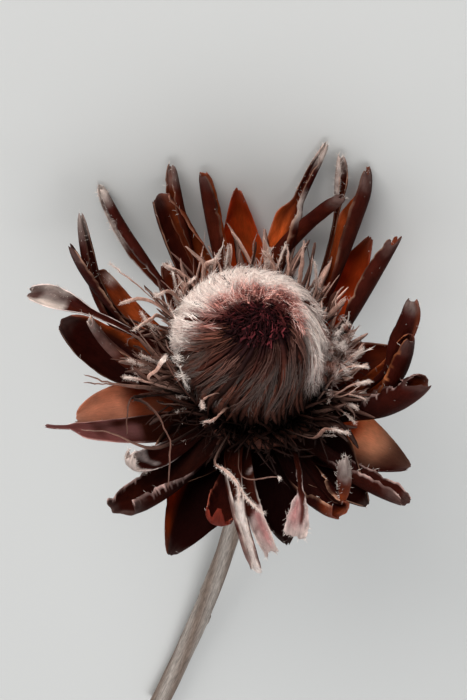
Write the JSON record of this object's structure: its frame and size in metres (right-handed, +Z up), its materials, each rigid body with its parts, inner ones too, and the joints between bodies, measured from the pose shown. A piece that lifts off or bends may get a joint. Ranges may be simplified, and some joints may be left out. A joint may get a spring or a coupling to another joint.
{
  "type": "dried protea flower head",
  "caption": "Dried protea flower head lying on its cut stem, with a woolly floret dome ringed by open florets and long rolled bracts.",
  "frame": {"origin": "middle of the bottom of the box round the flower as it lies", "axes": "+Z up; the cut stem runs back along +Y and the flower's face looks along -Y, a little upwards"},
  "size_m": [0.097, 0.2162, 0.0869],
  "materials": {
    "stem": "dry, finely ridged",
    "outer_bracts": "dry, thin and slightly translucent",
    "inner_bracts": "dry, leathery, with downy tips",
    "florets": "woolly",
    "open_florets": "wiry, with downy tips"
  },
  "bodies": {
    "root": {"stem": "stem", "outer_bracts": "outer_bracts", "inner_bracts": "inner_bracts", "floret_dome": "florets", "open_florets": "open_florets"}
  },
  "joints": []
}
